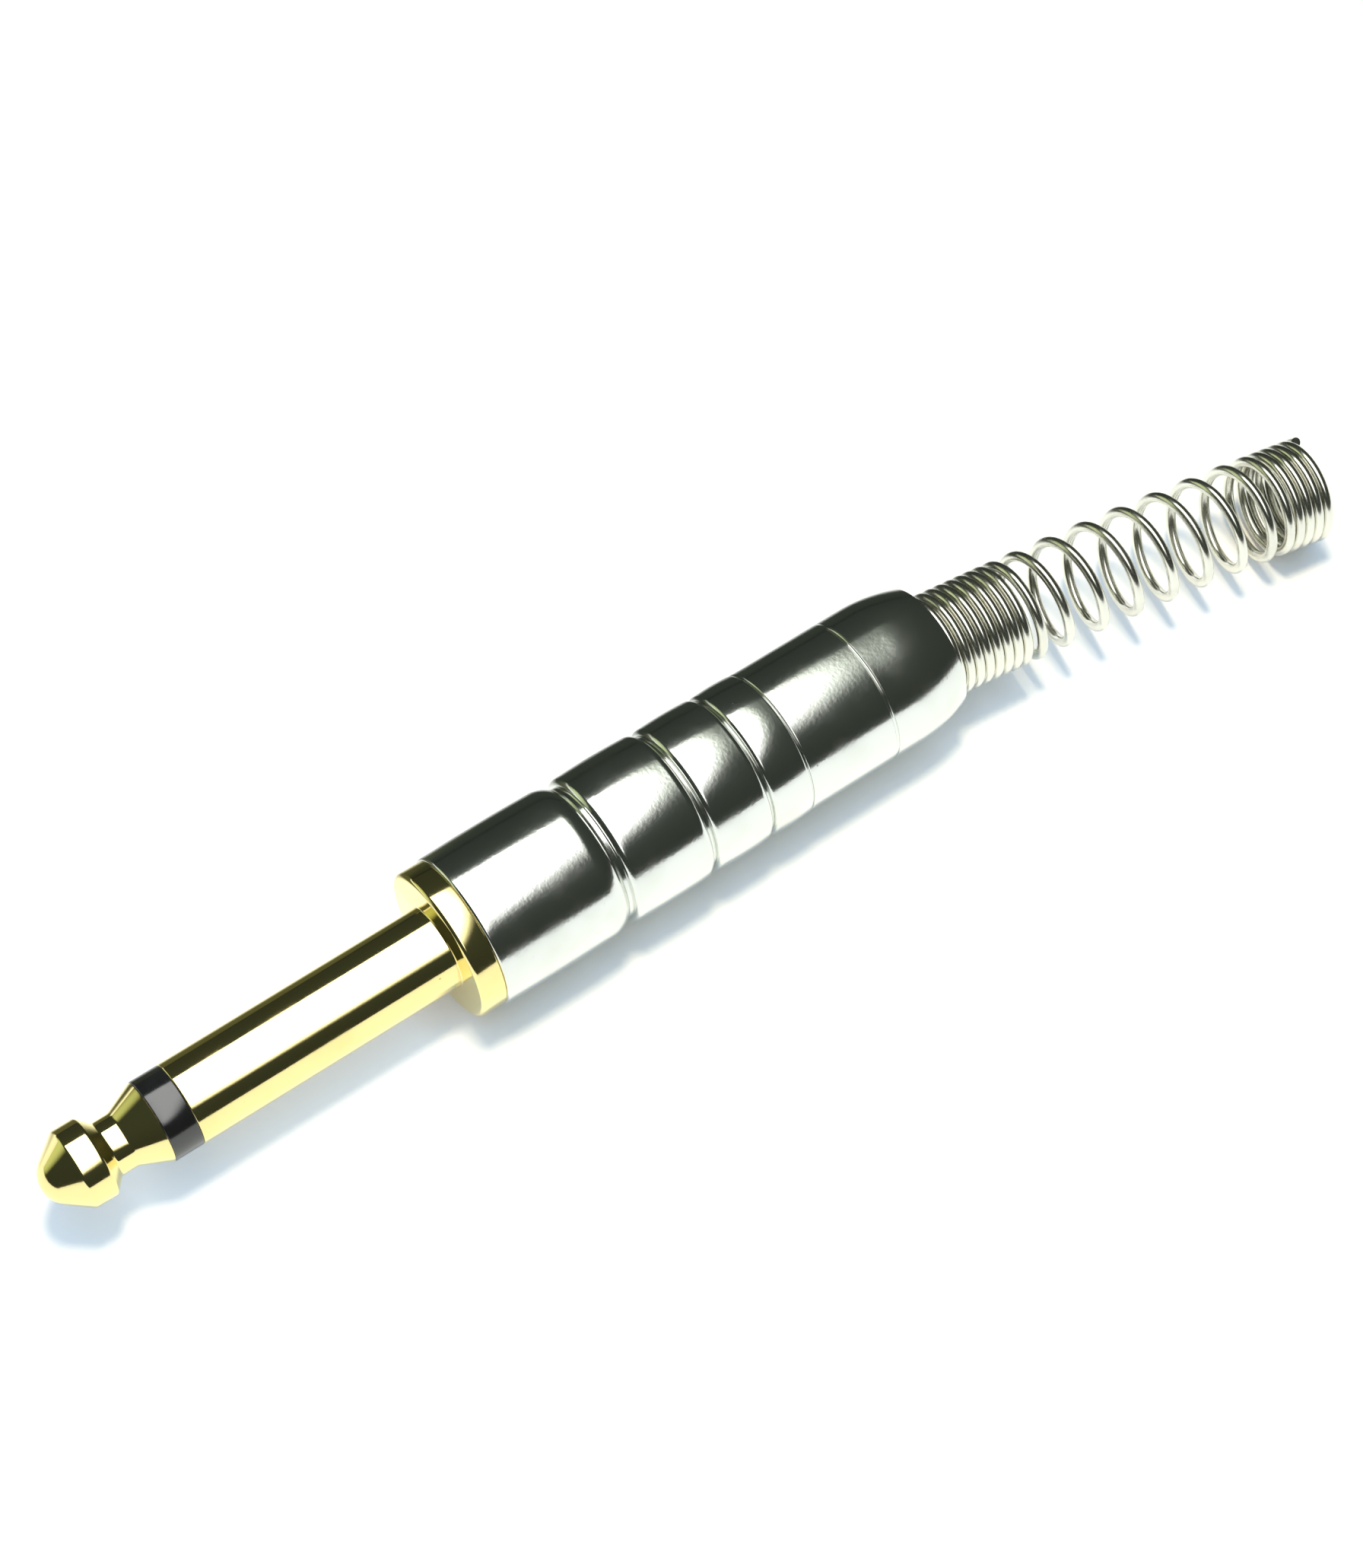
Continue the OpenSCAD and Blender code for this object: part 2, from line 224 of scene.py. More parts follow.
def buildPlatingGroup(p):  # turning rings, haze, specks and a slight peel of a plated surface
    group, inside, outside = makeGroup(
        "platedSurface", ("Clean Colour", "Haze Colour", "Speck Colour"),
        ("Polish", "Haze", "Specks", "Rings", "Peel"))
    given, made = inside.outputs, outside.inputs
    hazeMask = fadeNode(group, noiseNode(group, given["Vector"], *p["cloud"]), *p["hazeFade"])
    grit = noiseNode(group, given["Vector"], *p["grit"])
    speckMask = fadeNode(group, grit, given["Specks"], p["speckFull"])
    hazed = mixColour(group, hazeMask, given["Clean Colour"], given["Haze Colour"])
    wire(group, mixColour(group, speckMask, hazed, given["Speck Colour"]), made["Colour"])
    hazeStep = mathNode(group, "MULTIPLY", hazeMask, given["Haze"])
    speckStep = mathNode(group, "MULTIPLY", speckMask, p["speckDulls"])
    hazedStep = mathNode(group, "ADD", hazeStep, given["Polish"])
    wire(group, mathNode(group, "ADD", hazedStep, speckStep), made["Roughness"])
    along = group.nodes.new("ShaderNodeMapping")
    along.inputs["Scale"].default_value = p["ringScale"]  # rings lie across the axis
    wire(group, given["Vector"], along.inputs["Vector"])
    rings = noiseNode(group, along.outputs["Vector"], *p["rings"])
    peel = noiseNode(group, given["Vector"], *p["peel"])
    ringStep = mathNode(group, "MULTIPLY", rings, given["Rings"])
    peelStep = mathNode(group, "MULTIPLY", peel, given["Peel"])
    raised = mathNode(group, "ADD", ringStep, peelStep)
    pits = mathNode(group, "MULTIPLY", speckMask, p["speckPits"])
    wire(group, mathNode(group, "SUBTRACT", raised, pits), made["Height"])
    return group


mouldedGrain = {
    "flow": (420, 4, 0.5), "flowFade": (0.35, 0.7), "grain": (4200, 2, 0.5), "grainDulls": 0.12,
}


def buildMouldedGroup(p):  # faint grain and flow marks of a moulded or extruded surface
    group, inside, outside = makeGroup("mouldedSurface", ("Colour", "Flow Colour"), ("Gloss",))
    given, made = inside.outputs, outside.inputs
    flow = fadeNode(group, noiseNode(group, given["Vector"], *p["flow"]), *p["flowFade"])
    grain = noiseNode(group, given["Vector"], *p["grain"])
    wire(group, mixColour(group, flow, given["Colour"], given["Flow Colour"]), made["Colour"])
    grainStep = mathNode(group, "MULTIPLY", grain, p["grainDulls"])
    wire(group, mathNode(group, "ADD", given["Gloss"], grainStep), made["Roughness"])
    wire(group, grain, made["Height"])
    return group


platedSurface = buildPlatingGroup(platingGrain)
mouldedSurface = buildMouldedGroup(mouldedGrain)


# finishes, with the depth of their bump in metres

def newMaterial(name):
    material = bpy.data.materials.new(name)
    material.use_nodes = True
    return material


def makeMaterial(name, p):
    material = newMaterial(name)
    tree = material.node_tree
    shader = tree.nodes["Principled BSDF"]
    shader.inputs["Metallic"].default_value = p["metallic"]
    effect = tree.nodes.new("ShaderNodeGroup")
    effect.node_tree = p["effect"]
    wire(tree, spotNode(tree), effect.inputs["Vector"])
    for label, value in p["inputs"].items():
        effect.inputs[label].default_value = value
    dent = tree.nodes.new("ShaderNodeBump")
    dent.inputs["Strength"].default_value = p["bump"]
    dent.inputs["Distance"].default_value = p["depth"]
    wire(tree, effect.outputs["Height"], dent.inputs["Height"])
    wire(tree, effect.outputs["Colour"], shader.inputs["Base Color"])
    wire(tree, effect.outputs["Roughness"], shader.inputs["Roughness"])
    wire(tree, dent.outputs["Normal"], shader.inputs["Normal"])
    return material


goldFinish = {
    "effect": platedSurface, "metallic": 1, "bump": 1, "depth": 0.00002,
    "inputs": {
        "Clean Colour": (0.93, 0.80, 0.37, 1), "Haze Colour": (0.90, 0.75, 0.33, 1),
        "Speck Colour": (0.42, 0.30, 0.10, 1),
        "Polish": 0.08, "Haze": 0.05, "Specks": 0.74, "Rings": 0.02, "Peel": 0.05,
    },
}
nickelFinish = {
    "effect": platedSurface, "metallic": 1, "bump": 1, "depth": 0.00002,
    "inputs": {
        "Clean Colour": (0.80, 0.815, 0.78, 1), "Haze Colour": (0.75, 0.765, 0.72, 1),
        "Speck Colour": (0.30, 0.30, 0.28, 1),
        "Polish": 0.14, "Haze": 0.07, "Specks": 0.70, "Rings": 0.035, "Peel": 0.2,
    },
}
wireFinish = {
    "effect": platedSurface, "metallic": 1, "bump": 1, "depth": 0.00002,
    "inputs": {
        "Clean Colour": (0.82, 0.81, 0.73, 1), "Haze Colour": (0.74, 0.73, 0.65, 1),
        "Speck Colour": (0.28, 0.27, 0.22, 1),
        "Polish": 0.2, "Haze": 0.1, "Specks": 0.72, "Rings": 0.015, "Peel": 0.1,
    },
}
tinnedFinish = {
    "effect": platedSurface, "metallic": 1, "bump": 1, "depth": 0.00003,
    "inputs": {
        "Clean Colour": (0.72, 0.72, 0.70, 1), "Haze Colour": (0.60, 0.60, 0.57, 1),
        "Speck Colour": (0.36, 0.35, 0.32, 1),
        "Polish": 0.24, "Haze": 0.14, "Specks": 0.66, "Rings": 0.02, "Peel": 0.3,
    },
}
ringFinish = {
    "effect": mouldedSurface, "metallic": 0, "bump": 0.06, "depth": 0.00002,
    "inputs": {
        "Colour": (0.014, 0.015, 0.016, 1), "Flow Colour": (0.024, 0.025, 0.027, 1), "Gloss": 0.08,
    },
}
tubeFinish = {
    "effect": mouldedSurface, "metallic": 0, "bump": 0.2, "depth": 0.00002,
    "inputs": {
        "Colour": (0.80, 0.79, 0.75, 1), "Flow Colour": (0.72, 0.71, 0.66, 1), "Gloss": 0.4,
    },
}
washerFinish = {
    "effect": mouldedSurface, "metallic": 0, "bump": 0.4, "depth": 0.00004,
    "inputs": {
        "Colour": (0.33, 0.18, 0.09, 1), "Flow Colour": (0.22, 0.11, 0.05, 1), "Gloss": 0.5,
    },
}
linerFinish = {
    "effect": mouldedSurface, "metallic": 0, "bump": 0.2, "depth": 0.00002,
    "inputs": {
        "Colour": (0.76, 0.76, 0.71, 1), "Flow Colour": (0.68, 0.68, 0.62, 1), "Gloss": 0.38,
    },
}
goldPlating = makeMaterial("goldPlating", goldFinish)
nickelPlating = makeMaterial("nickelPlating", nickelFinish)
springSteel = makeMaterial("springSteel", wireFinish)
tinnedSheet = makeMaterial("tinnedSheet", tinnedFinish)
ringPlastic = makeMaterial("ringPlastic", ringFinish)
ringShader = ringPlastic.node_tree.nodes["Principled BSDF"]
ringShader.inputs["IOR"].default_value = 1.8  # a hard resin with a deep gloss
tubePlastic = makeMaterial("tubePlastic", tubeFinish)
washerBoard = makeMaterial("washerBoard", washerFinish)
linerPlastic = makeMaterial("linerPlastic", linerFinish)
print("finishes ready")

# the solids that stay as they are get their finish
keptSolids = {
    "rod_tube": tubePlastic, "ground_terminal": tinnedSheet, "rear_insulator": washerBoard,
    "tip_terminal": tinnedSheet, "barrel_liner": linerPlastic,
}
for node, material in keptSolids.items():
    nodes[node].data.materials.clear()
    nodes[node].data.materials.append(material)

# tip: a blunt head with a band round it, a waist, a flare and the rod behind them
tipTurning = {
    "end": -32, "noseR": 2.2, "headAt": -29.4, "headR": 3.05, "edgeR": 0.3, "slopeAt": -27.9,
    "waistAt": -26.9, "waistR": 2.1, "waistFillet": 0.25, "flareAt": -25.6, "flareFillet": 0.6,
    "rimAt": -23.5, "rimR": 3.05, "ringAt": -23.3, "baseR": 3.1, "baseEdge": 0.05,
    "rodR": 1.25, "peenAt": 11.25, "peenR": 1.8, "peenH": 0.6,
    "noseSteps": 16, "edgeSteps": 8, "filletSteps": 6, "baseSteps": 3, "peenSteps": 6, "steps": 160,
}


def flankTurn(stepX, stepR, more):  # way that a flank faces between two round corners
    return math.atan2(stepX, stepR) - math.acos(more / math.hypot(stepX, stepR))


def buildTip(p):
    noseAt, edgeAt = p["end"] + p["noseR"], p["headR"] - p["edgeR"]
    front = flankTurn(p["headAt"] - noseAt, edgeAt, p["noseR"] - p["edgeR"])
    rear = flankTurn(p["waistAt"] - p["slopeAt"], p["waistR"] - edgeAt, p["edgeR"])
    flare = math.degrees(math.atan2(p["rimR"] - p["waistR"], p["rimAt"] - p["flareAt"]))
    bm, pen = startProfile(p["end"], 0)
    pen = drawArc(bm, pen, noseAt, 0, 90 + math.degrees(front), p["noseSteps"])
    pen = drawLine(bm, pen, p["headAt"] + p["edgeR"] * math.sin(front),
                   edgeAt + p["edgeR"] * math.cos(front))
    pen = drawArc(bm, pen, p["headAt"], edgeAt, -math.degrees(front), p["edgeSteps"])
    pen = drawLine(bm, pen, p["slopeAt"], p["headR"])
    pen = drawArc(bm, pen, p["slopeAt"], edgeAt, math.degrees(rear), p["edgeSteps"])
    pen = drawCorner(bm, pen, p["waistAt"], p["waistR"], -math.degrees(rear), 0,
                     p["waistFillet"], p["filletSteps"])
    pen = drawCorner(bm, pen, p["flareAt"], p["waistR"], 0, flare,
                     p["flareFillet"], p["filletSteps"])
    pen = drawLine(bm, pen, p["rimAt"], p["rimR"])
    pen = drawCorner(bm, pen, p["ringAt"], p["baseR"], 0, -90, p["baseEdge"], p["baseSteps"])
    pen = drawLine(bm, pen, p["ringAt"], p["rodR"])
    pen = drawLine(bm, pen, p["peenAt"], p["rodR"])
    pen = drawLine(bm, pen, p["peenAt"], p["peenR"])
    pen = drawFall(bm, pen, p["peenH"], p["peenH"], p["peenSteps"])
    drawLine(bm, pen, p["peenAt"] + p["peenH"], 0)
    turnProfile(bm, p["steps"])
    return addPiece(bm, "plugTip", goldPlating, "plug")


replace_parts(buildTip(tipTurning), "tip_pin")

# insulating ring behind the tip, with its spigot
ringTurning = {
    "from": -23.3, "to": -21.05, "outR": 3.15, "holeR": 1.3, "spigotR": 2.2, "spigotL": 1.5,
    "edge": 0.08, "edgeSteps": 4, "steps": 160,
}


def buildRing(p):
    bm, pen = startProfile(p["from"], p["holeR"])
    pen = drawCorner(bm, pen, p["from"], p["outR"], 90, 0, p["edge"], p["edgeSteps"])
    pen = drawCorner(bm, pen, p["to"], p["outR"], 0, -90, p["edge"], p["edgeSteps"])
    pen = drawLine(bm, pen, p["to"], p["spigotR"])
    pen = drawLine(bm, pen, p["to"] + p["spigotL"], p["spigotR"])
    pen = drawLine(bm, pen, p["to"] + p["spigotL"], p["holeR"])
    drawLine(bm, pen, p["from"], p["holeR"])
    turnProfile(bm, p["steps"])
    return addPiece(bm, "tipRing", ringPlastic, "plug")


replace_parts(buildRing(ringTurning), "tip_insulator")

# sleeve: the shaft, its flange, the thread's core and the stub for the ground terminal
sleeveTurning = {
    "from": -21.05, "shaftR": 3.175, "edge": 0.08, "fillet": 0.1, "flangeR": 5.8, "flangeT": 2,
    "frontEdge": 0.35, "backEdge": 0.12, "reliefR": 4.2, "reliefTo": 2.7, "coreR": 4.25,
    "threadTo": 8.7, "stubR": 2.6, "stakeAt": 9.3, "stakeR": 2.75, "to": 9.45, "boreR": 1.75,
    "spigotR": 2.25, "spigotTo": -19.55,
    "edgeSteps": 4, "filletSteps": 4, "frontSteps": 10, "backSteps": 5, "steps": 192,
}


def buildSleeve(p):
    bm, pen = startProfile(p["from"], p["spigotR"])
    pen = drawCorner(bm, pen, p["from"], p["shaftR"], 90, 0, p["edge"], p["edgeSteps"])
    pen = drawCorner(bm, pen, 0, p["shaftR"], 0, 90, p["fillet"], p["filletSteps"])
    pen = drawCorner(bm, pen, 0, p["flangeR"], 90, 0, p["frontEdge"], p["frontSteps"])
    pen = drawCorner(bm, pen, p["flangeT"], p["flangeR"], 0, -90, p["backEdge"], p["backSteps"])
    pen = drawLine(bm, pen, p["flangeT"], p["reliefR"])
    pen = drawLine(bm, pen, p["reliefTo"], p["reliefR"])
    pen = drawLine(bm, pen, p["reliefTo"], p["coreR"])
    pen = drawLine(bm, pen, p["threadTo"], p["coreR"])
    pen = drawLine(bm, pen, p["threadTo"], p["stubR"])
    pen = drawLine(bm, pen, p["stakeAt"], p["stubR"])
    pen = drawLine(bm, pen, p["stakeAt"], p["stakeR"])
    pen = drawLine(bm, pen, p["to"], p["stakeR"])
    pen = drawLine(bm, pen, p["to"], p["boreR"])
    pen = drawLine(bm, pen, p["spigotTo"], p["boreR"])
    pen = drawLine(bm, pen, p["spigotTo"], p["spigotR"])
    drawLine(bm, pen, p["from"], p["spigotR"])
    turnProfile(bm, p["steps"])
    return addPiece(bm, "plugSleeve", goldPlating, "plug")


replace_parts(buildSleeve(sleeveTurning), "sleeve")


def sweepRing(bm, ring, places):  # pulls a ring of edges through a row of places
    edges = ring
    for before, after in zip(places, places[1:]):
        pulled = bmesh.ops.extrude_edge_only(bm, edges=edges)["geom"]
        verts = [g for g in pulled if isinstance(g, bmesh.types.BMVert)]
        edges = [g for g in pulled
                 if isinstance(g, bmesh.types.BMEdge) and all(v in verts for v in g.verts)]
        bmesh.ops.transform(bm, matrix=after @ before.inverted(), verts=verts)
    return edges


# screw thread on the sleeve, under the barrel's front
threadCut = {
    "from": 2.95, "turns": 7.2, "pitch": 0.75, "rootR": 4.2, "crestR": 4.62, "rootW": 0.66,
    "crestW": 0.1, "runOut": 0.4, "turnSteps": 64,
}


def buildThread(p):
    bm = bmesh.new()
    root, crest = p["rootW"] / 2 * mm, p["crestW"] / 2 * mm
    rootR, crestR = p["rootR"], p["crestR"]
    corners = [(-root, rootR), (-crest, crestR), (crest, crestR), (root, rootR)]
    verts = [bm.verts.new((x, 0, r * mm)) for x, r in corners]
    loop = [bm.edges.new(pair) for pair in zip(verts, verts[1:] + verts[:1])]
    places = []
    for k in range(round(p["turns"] * p["turnSteps"]) + 1):
        t = k / p["turnSteps"]
        fade = min(1, t / p["runOut"], (p["turns"] - t) / p["runOut"])  # runs out at both ends
        lift = Matrix.Translation(((p["from"] + p["pitch"] * t) * mm, 0, 0))
        sink = Matrix.Translation((0, 0, -(1 - fade) * (crestR - rootR) * mm))
        places.append(lift @ Matrix.Rotation(2 * math.pi * t, 4, "X") @ sink)
    bmesh.ops.transform(bm, matrix=places[0], verts=verts)
    sweepRing(bm, loop, places)
    bmesh.ops.holes_fill(bm, edges=bm.edges)
    bmesh.ops.recalc_face_normals(bm, faces=bm.faces)
    return addPiece(bm, "sleeveThread", goldPlating, "plug")


buildThread(threadCut)
print("plug ready")

# barrel: turned sections with grooves between them, a round nose and a fine line before it
barrelTurning = {
    "at": 2, "length": 41, "frontR": 5.95, "rearR": 5.7, "frontEdge": 0.2, "crown": 0.06,
    "grooveAt": (10.75, 18, 23.1, 26.6), "grooveDepth": (0.55, 0.5, 0.38, 0.15),
    "grooveLead": (1.6, 0.7, 0.5, 0.2), "grooveFlat": (0.3, 0.2, 0.15, 0.1),
    "lineGap": 2.4, "lineR": 0.16, "noseL": 4.4, "noseDrop": 0.75, "cavityR": 4.95,
    "mouthR": 4.5, "mouthL": 1.2, "mouthEdge": 0.1, "boreR": 4.7, "boreL": 6.7,
    "riseSteps": 8, "lineSteps": 10, "bowSteps": 16, "fallSteps": 16, "mouthSteps": 4, "steps": 224,
}


def buildBarrel(p):
    at, count = p["at"], len(p["grooveAt"])
    sectionR = [p["frontR"] + (p["rearR"] - p["frontR"]) * k / count for k in range(count + 1)]
    floorR = [min(sectionR[k], sectionR[k + 1]) - p["grooveDepth"][k] for k in range(count)]
    bm, pen = startProfile(at, p["boreR"])
    x = at
    for k, r in enumerate(sectionR):
        rise = p["frontEdge"] if k == 0 else r - floorR[k - 1]
        pen = drawLine(bm, pen, x, r - rise)
        pen = drawArc(bm, pen, x + rise, r - rise, 90, p["riseSteps"])
        last = k == count
        fall = p["noseDrop"] if last else r - floorR[k]
        fallL = p["noseL"] if last else p["grooveLead"][k]
        end = at + (p["length"] if last else p["grooveAt"][k])
        if last:
            lineAt = end - fallL - p["lineGap"]
            pen = drawLine(bm, pen, lineAt - p["lineR"], r)
            pen = drawArc(bm, pen, lineAt, r, -180, p["lineSteps"])
            pen = drawLine(bm, pen, end - fallL, r)
        else:
            pen = drawBow(bm, pen, end - fallL - x - rise, p["crown"], p["bowSteps"])
            x = end + p["grooveFlat"][k]
        pen = drawFall(bm, pen, fallL, fall, p["fallSteps"])
    pen = drawCorner(bm, pen, end, p["mouthR"], -90, -180, p["mouthEdge"], p["mouthSteps"])
    pen = drawLine(bm, pen, end - p["mouthL"], p["mouthR"])
    pen = drawLine(bm, pen, end - p["mouthL"], p["cavityR"])
    pen = drawLine(bm, pen, at + p["boreL"], p["cavityR"])
    pen = drawLine(bm, pen, at + p["boreL"], p["boreR"])
    drawLine(bm, pen, at, p["boreR"])
    turnProfile(bm, p["steps"])
    return addPiece(bm, "barrelShell", nickelPlating, "barrel")


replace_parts(buildBarrel(barrelTurning), "barrel")
print("barrel ready")

# spring: close turns in the barrel's mouth and at the cable's end, open turns between, bent a bit
springWinding = {
    "coilR": 3.69, "baseR": 4.24, "wireR": 0.41, "seatAt": 41.8, "seatClearance": 0.15,
    "closePitch": 0.84, "openPitch": 3.1, "baseTurns": 2, "nearTurns": 10, "openTurns": 10,
    "rampTurns": 3, "farTurns": 4, "lean": 5.5, "bend": 4.5, "bendToward": 24, "wireStart": 200,
    "turnSteps": 48, "wireSides": 14,
}


def buildSpring(p):
    lean, bend, toward = (math.radians(p[key]) for key in ("lean", "bend", "bendToward"))
    openFrom = p["baseTurns"] + p["nearTurns"]
    openTo = openFrom + p["openTurns"] - p["rampTurns"]
    turns = openFrom + p["openTurns"] + p["farTurns"]

    def opened(t):  # turns at the open pitch so far, eased in over the ramp
        u = t / p["rampTurns"]
        return p["rampTurns"] * (0 if u <= 0 else u - 0.5 if u >= 1 else u ** 3 * (1 - u / 2))

    def travel(t):
        wider = p["openPitch"] - p["closePitch"]
        return p["closePitch"] * t + wider * (opened(t - openFrom) - opened(t - openTo))

    def eased(u):
        u = min(1, max(0, u))
        return u * u * (3 - 2 * u)

    length = travel(turns) - travel(p["baseTurns"])
    side = Vector((0, -math.cos(toward), -math.sin(toward)))
    ahead = Vector((1, 0, 0))
    leanDepth = (p["baseR"] + p["wireR"]) * math.sin(lean)
    pivot = ahead * (p["seatAt"] - p["seatClearance"] - leanDepth - p["wireR"])
    bendR = length / bend

    def place(t):  # matrix of the wire's cross-section after t turns
        run = travel(t) - travel(p["baseTurns"])
        tilt = lean + bend * max(0, run) / length
        along = ahead * math.cos(tilt) + side * math.sin(tilt)
        across = side * math.cos(tilt) - ahead * math.sin(tilt)
        if run <= 0:
            centre = pivot + along * run
        else:
            bentAhead = (math.sin(tilt) - math.sin(lean)) * ahead
            bentAside = (math.cos(lean) - math.cos(tilt)) * side
            centre = pivot + bendR * (bentAhead + bentAside)
        turn = math.radians(p["wireStart"]) + 2 * math.pi * t
        outward = across * math.cos(turn) + along.cross(across) * math.sin(turn)
        radius = p["baseR"] + (p["coilR"] - p["baseR"]) * eased(t - p["baseTurns"])
        spot = (centre + outward * radius) * mm
        wireWay = along.cross(outward)
        return Matrix((
            (outward.x, along.x, wireWay.x, spot.x),
            (outward.y, along.y, wireWay.y, spot.y),
            (outward.z, along.z, wireWay.z, spot.z),
            (0, 0, 0, 1)))

    places = [place(k / p["turnSteps"]) for k in range(turns * p["turnSteps"] + 1)]
    bm = bmesh.new()
    bmesh.ops.create_circle(bm, segments=p["wireSides"], radius=p["wireR"] * mm, matrix=places[0])
    start = bm.edges[:]
    finish = sweepRing(bm, start, places)
    for rim in (start, finish):
        bmesh.ops.holes_fill(bm, edges=rim)
    bmesh.ops.recalc_face_normals(bm, faces=bm.faces)
    return addPiece(bm, "strainSpring", springSteel, "barrel")


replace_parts(buildSpring(springWinding), "spring")
print("spring ready")

# stage, in metres: a white table and room, a key lamp, and what the metal mirrors, which is
# a soft panel, a dark card and a dark tent
tableZ = cadBox[0][2]
matteSkin = {"Roughness": 0.9, "Specular IOR Level": 0}
# the table glows for the camera, the metal and clear things though it is no lamp: painted bluish
# fill that gives its shadow the colour, over a warm base colour so that lit parts add up to white
tableSheet = {
    "name": "table", "from": (-3, -3), "to": (3, 3), "z": tableZ, "colour": (0.97, 0.83, 0.56),
    # the glow is dimmed close under the part as painted contact shadow
    "glow": (0.67, 0.87, 1.10), "glowLevel": 0.73, "paintedShade": 0.004, "paintedShadeSamples": 3,
    "far": (0.15, 0.45), "farGlow": (1, 1, 1), "farLevel": 1,
}
keyLamp = {
    "place": (0.035, 0.03, 0.48), "aim": (0.02, 0, 0), "size": 0.10, "power": 1.65,
    "colour": (1, 1, 0.98),
}
softPanel = {
    "name": "softPanel", "from": (-0.08, -0.42), "to": (0.5, 0.26), "z": 0.31,
    "colour": (1, 1, 0.98), "level": 3.6, "farColour": (0.92, 1, 0.84), "farLevel": 0.16,
    "fadeFrom": 0.088, "fadeTo": 0.175, "slant": 2.6, "reach": 0.36, "edge": 0.17,
    "frontEdge": 0.2, "sideEdge": 0.05,
}
cardLift = 0.0004
darkCard = {
    "name": "darkCard", "from": (-0.045, 0.008), "to": (1.5, 3), "z": tableZ + cardLift,
    "colour": (0.048, 0.057, 0.046), "plugColour": (0.140, 0.150, 0.085),
    "plugTo": (-0.004, 0.016), "edgeTo": (-0.028, 0.02),
}
darkTent = {
    "name": "darkTent", "radius": 2.5, "roundSteps": 48, "upSteps": 24,
    "zenith": (0.044, 0.052, 0.042), "horizon": (0.034, 0.040, 0.033),
    "window": (-0.60, 0.78, 0.17), "windowColour": (0.68, 0.78, 0.43), "windowFrom": 0.87,
}
whiteRoom = {"white": (1, 1, 1), "dim": (0.038, 0.045, 0.036)}
shot = {
    "place": (-0.05600, -0.10803, 0.22291), "back": (-0.29865, -0.41906, 0.85744),
    "lens": 95.48, "sensor": 36, "clip": (0.01, 10),
}


def addStage(bm, name):
    thing = addMesh(bm, name)
    thing.data.materials.append(newMaterial(name))
    return thing


def treeOf(thing):
    return thing.data.materials[0].node_tree


def matteShader(tree):
    shader = tree.nodes["Principled BSDF"]
    for label, value in matteSkin.items():
        shader.inputs[label].default_value = value
    return shader


def seenMask(tree):  # what the camera, metal and clear things see, apart from what lights the rest
    rays = tree.nodes.new("ShaderNodeLightPath").outputs
    seen = mathNode(tree, "MAXIMUM", rays["Is Camera Ray"], rays["Is Glossy Ray"])
    return mathNode(tree, "MAXIMUM", seen, rays["Is Transmission Ray"])


def buildSheet(p):
    bm = bmesh.new()
    bmesh.ops.create_grid(bm, x_segments=1, y_segments=1, size=0.5)
    size = [high - low for low, high in zip(p["from"], p["to"])]
    middle = [low + side / 2 for low, side in zip(p["from"], size)]
    bmesh.ops.scale(bm, verts=bm.verts, vec=(*size, 1))
    bmesh.ops.translate(bm, verts=bm.verts, vec=(*middle, p["z"]))
    return addStage(bm, p["name"])


def buildTable(p):
    tree = treeOf(buildSheet(p))
    shader = matteShader(tree)
    shader.inputs["Base Color"].default_value = (*p["colour"], 1)
    away = vectorNode(tree, "LENGTH", spotNode(tree))
    far = fadeNode(tree, away, *p["far"])  # plain white away from the lamp
    # painted light: the glow is bluish near the part and plain white far off
    wire(tree, mixColour(tree, far, p["glow"], p["farGlow"]), shader.inputs["Emission Color"])
    paintedShade = tree.nodes.new("ShaderNodeAmbientOcclusion")  # painted contact shadow: dims the glow close under the part
    paintedShade.samples = p["paintedShadeSamples"]
    paintedShade.inputs["Distance"].default_value = p["paintedShade"]
    level = rangeNode(tree, far, 0, 1, p["glowLevel"], p["farLevel"])
    glow = mathNode(tree, "MULTIPLY", paintedShade.outputs["AO"], level)
    seenGlow = mathNode(tree, "MULTIPLY", seenMask(tree), glow)
    wire(tree, seenGlow, shader.inputs["Emission Strength"])


def buildKeyLamp(p):
    lamp = bpy.data.lights.new("keyLamp", "AREA")
    lamp.shape = "DISK"
    lamp.size = p["size"]
    lamp.energy = p["power"]
    lamp.color = p["colour"]
    holder = bpy.data.objects.new("keyLamp", lamp)
    holder.location = p["place"]
    back = Vector(p["place"]) - Vector(p["aim"])
    holder.rotation_euler = back.to_track_quat("Z", "Y").to_euler()
    holder.visible_glossy = False
    scene.collection.objects.link(holder)


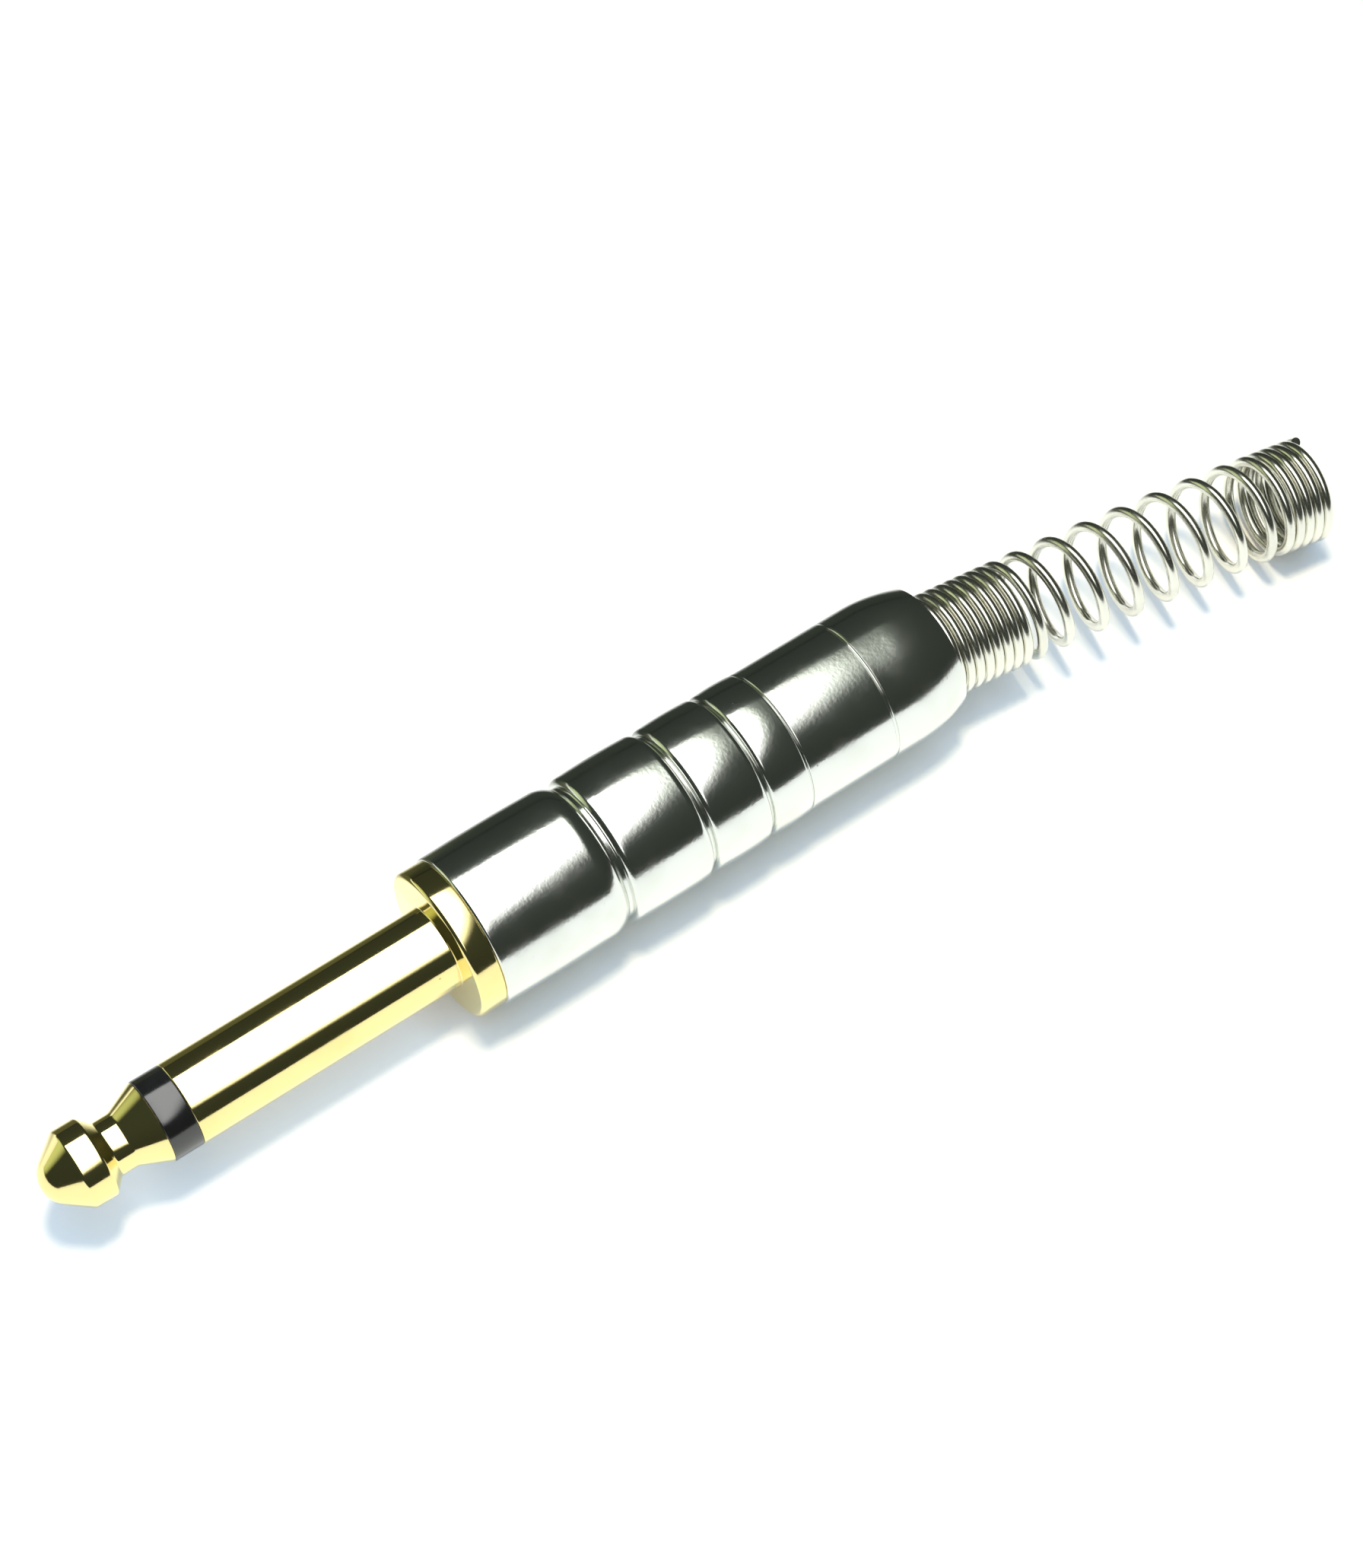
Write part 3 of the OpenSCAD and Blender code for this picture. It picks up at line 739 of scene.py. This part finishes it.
def buildSoftPanel(p):  # shows in the metal only, and the key lamp gives the light
    panel = buildSheet(p)
    panel.visible_camera = panel.visible_diffuse = panel.visible_shadow = False
    tree = treeOf(panel)
    place = axesNode(tree)
    lineX = mathNode(tree, "MULTIPLY", place["X"], p["slant"])
    line = mathNode(tree, "SUBTRACT", place["Y"], lineX)
    lit = fadeNode(tree, line, -p["reach"] - p["edge"], -p["reach"] + p["edge"])
    fromX, fromY = p["from"]
    front = fadeNode(tree, place["Y"], fromY, fromY + p["frontEdge"])
    side = fadeNode(tree, place["X"], fromX, fromX + p["sideEdge"])
    edges = mathNode(tree, "MULTIPLY", mathNode(tree, "MULTIPLY", lit, front), side)
    far = fadeNode(tree, place["X"], p["fadeFrom"], p["fadeTo"])
    level = rangeNode(tree, far, 0, 1, p["level"], p["farLevel"])
    lamp = tree.nodes.new("ShaderNodeEmission")
    wire(tree, mixColour(tree, far, p["colour"], p["farColour"]), lamp.inputs["Color"])
    wire(tree, mathNode(tree, "MULTIPLY", level, edges), lamp.inputs["Strength"])
    clear = tree.nodes.new("ShaderNodeBsdfTransparent")
    both = tree.nodes.new("ShaderNodeAddShader")  # the tent shows through where the panel is dark
    wire(tree, lamp.outputs["Emission"], both.inputs[0])
    wire(tree, clear.outputs["BSDF"], both.inputs[1])
    wire(tree, both.outputs["Shader"], tree.nodes["Material Output"].inputs["Surface"])


def buildDarkCard(p):  # stands in the metal for a darker table behind the part
    card = buildSheet(p)
    card.visible_camera = card.visible_diffuse = False
    card.visible_shadow = card.visible_transmission = False
    tree = treeOf(card)
    place = axesNode(tree)
    shader = matteShader(tree)
    behind = fadeNode(tree, place["X"], *p["plugTo"])
    colour = mixColour(tree, behind, p["plugColour"], p["colour"])
    wire(tree, colour, shader.inputs["Base Color"])
    edges = [fadeNode(tree, place[axis], start, full)
             for axis, start, full in zip("XY", p["from"], p["edgeTo"])]
    wire(tree, mathNode(tree, "MULTIPLY", *edges), shader.inputs["Alpha"])


def buildDarkTent(p):  # only the metal sees it, with a pale window far behind the tip
    bm = bmesh.new()
    bmesh.ops.create_uvsphere(bm, u_segments=p["roundSteps"], v_segments=p["upSteps"],
                              radius=p["radius"])
    tent = addStage(bm, p["name"])
    tent.visible_camera = tent.visible_diffuse = False
    tent.visible_shadow = tent.visible_transmission = False
    tree = treeOf(tent)
    height = fadeNode(tree, axesNode(tree)["Z"], 0, p["radius"])
    wall = mixColour(tree, height, p["horizon"], p["zenith"])
    toWindow = vectorNode(tree, "DOT_PRODUCT", spotNode(tree), p["window"])
    lit = fadeNode(tree, toWindow, p["windowFrom"] * p["radius"], p["radius"])
    glow = tree.nodes.new("ShaderNodeEmission")
    wire(tree, mixColour(tree, lit, wall, p["windowColour"]), glow.inputs["Color"])
    wire(tree, glow.outputs["Emission"], tree.nodes["Material Output"].inputs["Surface"])
    tent.data.materials[0].cycles.emission_sampling = "NONE"


def buildRoom(p):
    room = bpy.data.worlds.new("room")
    room.use_nodes = True
    tree = room.node_tree
    colour = mixColour(tree, seenMask(tree), p["dim"], p["white"])
    wire(tree, colour, tree.nodes["Background"].inputs["Color"])
    room.cycles.sampling_method = "NONE"
    scene.world = room


def buildCamera(p):
    lens = bpy.data.cameras.new("shot")
    lens.sensor_fit = "HORIZONTAL"
    lens.sensor_width = p["sensor"]
    lens.lens = p["lens"]
    lens.clip_start, lens.clip_end = p["clip"]
    camera = bpy.data.objects.new("shot", lens)
    camera.location = p["place"]
    camera.rotation_euler = Vector(p["back"]).to_track_quat("Z", "Y").to_euler()
    scene.collection.objects.link(camera)
    scene.camera = camera


buildTable(tableSheet)
buildKeyLamp(keyLamp)
buildSoftPanel(softPanel)
buildDarkCard(darkCard)
buildDarkTent(darkTent)
buildRoom(whiteRoom)
buildCamera(shot)
scene.view_settings.view_transform = "Standard"
print("stage ready")
